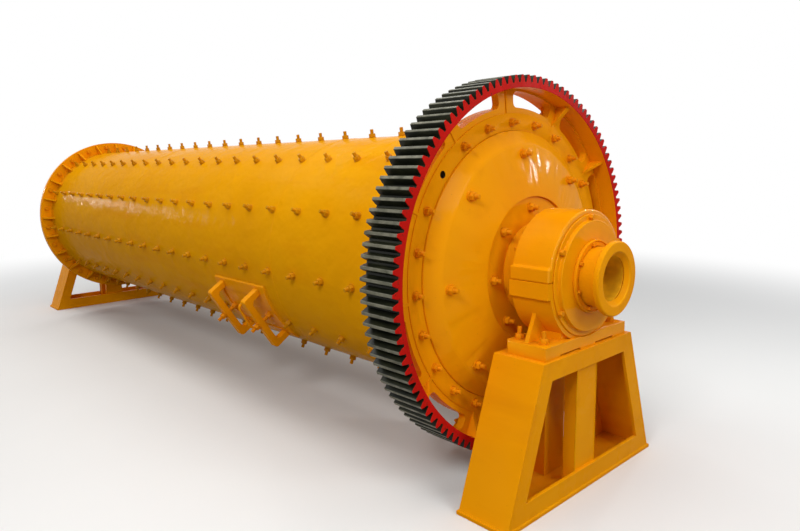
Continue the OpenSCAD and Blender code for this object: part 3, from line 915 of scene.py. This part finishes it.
def stand_welds():
    """Fillet welds of the stands: round the floor plate and up the sides of the middle posts."""
    for end in ENDS:
        low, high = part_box(end + "_stand_side_front")[0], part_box(end + "_stand_side_rear")[1]
        sill = low.z
        near, far = (corner.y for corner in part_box(end + "_stand_inner_frame"))
        parts = []
        for x in (low.x, high.x):
            parts.append(bead(straight((x, near, sill), (x, far, sill))))
        for y in (-high.y, high.y):
            parts.append(bead(straight((low.x, y, sill), (high.x, y, sill))))
        for x, step in ((low.x + 0.016, 1), (high.x - 0.016, -1)):
            corner = x + step * 0.0005
            for y in (-0.076, 0.076):
                parts.append(bead(straight((x, y, sill), (x + step * 0.06, y, sill)), 0.003))
                top = (corner, y, high.z - 0.03)
                parts.append(bead(straight((corner, y, sill), top), 0.003))
        pile(end + "_stand_welds", parts, "base", BEAD, sharp=80)


# Stage.


def floor():
    """Pale floor that is no piece of the object."""
    half = 40.0
    corners = [(-half, -half, 0), (half, -half, 0), (half, half, 0), (-half, half, 0)]
    mesh = plain_mesh("floor", np.array(corners), [(0, 1, 2, 3)])
    mesh.materials.append(floor_finish())
    link(bpy.data.objects.new("floor", mesh))


def surroundings():
    """Soft light from all round and a white background."""
    world = bpy.data.worlds.new("world")
    bpy.context.scene.world = world
    s = Shader(world)
    soft = s.node("Background", {"Color": (0.93, 0.96, 1.0, 1), "Strength": 0.32})
    white = s.node("Background", {"Color": (1, 1, 1, 1), "Strength": 1.0})
    s.node("OutputWorld", {"Surface": s.blend(s.seen(), soft, white)})


def lamp(name, at, towards, size, power, colour=(1, 1, 1)):
    """Rectangular lamp at a place, turned towards another."""
    light = bpy.data.lights.new(name, "AREA")
    light.shape = "RECTANGLE"
    light.size, light.size_y = size
    light.energy = power
    light.color = colour
    made = link(bpy.data.objects.new(name, light))
    made.location = at
    made.rotation_euler = (Vector(towards) - Vector(at)).to_track_quat("-Z", "Y").to_euler()


def lights():
    """Roof lights, tubes, a row of window panes and the small lamps that show in the paint."""
    lamp("roof", (0.0, -1.6, 6.5), (0, 0, 0.8), (8, 2.5), 160, (1, 0.98, 0.95))
    lamp("strip", (1.0, 1.2, 5.0), (0.5, 0, 1), (7, 0.3), 40)
    for number, y in enumerate((0.2, -1.06, -2.5)):
        lamp("tube_%d" % number, (-3.6, y, 5.0), (-1.6, y * 0.5, 1), (4.2, 0.06), 20)
    lamp("front", (7.0, -0.4, 4.0), (2.5, 0, 0.9), (2.4, 2.0), 98, (1, 0.99, 0.97))
    lamp("side", (4.0, -4.5, 4.0), (2.8, -0.3, 0.5), (1.5, 1.2), 118)
    drum = (-1.5, -0.3, 1)
    lamp("windows", (-8.5, -3.1, 2.35), drum, (2.0, 0.14), 18)
    for number in range(7):
        shift = 0.31 * (number - 3)
        at = (-8.4 + 0.37 * shift, -3.06 - 0.93 * shift, 2.35)
        lamp("pane_%d" % number, at, drum, (0.13, 0.2), 8)
    lamp("high", (1.75, 4.1, 3.9), (2.9, 0.0, 1.2), (0.25, 0.25), 18)
    lamp("low", (4.47, 3.38, 2.24), (2.6, 0.1, 1.3), (0.14, 0.14), 25)


def camera():
    """Camera of the photograph."""
    heading, tilt, roll = (math.radians(a) for a in CAMERA_TURN)
    level = math.cos(tilt)
    ahead = Vector((-math.sin(heading) * level, math.cos(heading) * level, math.sin(tilt)))
    right = Vector((math.cos(heading), math.sin(heading), 0))
    up = right.cross(ahead)
    side = right * math.cos(roll) + up * math.sin(roll)
    top = -right * math.sin(roll) + up * math.cos(roll)
    data = bpy.data.cameras.new("camera")
    data.lens = CAMERA_LENS
    data.sensor_width = CAMERA_SENSOR
    data.sensor_fit = "HORIZONTAL"
    made = link(bpy.data.objects.new("camera", data))
    rows = Matrix((side, top, -ahead)).transposed().to_4x4()
    made.matrix_world = Matrix.Translation(CAMERA_AT) @ rows
    bpy.context.scene.camera = made


dress_frame()
liner_bolts()
flange_bolts()
head_bolts()
bearing_bolts()
shaft_seals()
manhole_fittings()
joint_bolts()
handle()
drum_welds()
stand_welds()
floor()
surroundings()
lights()
camera()
bpy.context.scene.view_settings.view_transform = "Standard"
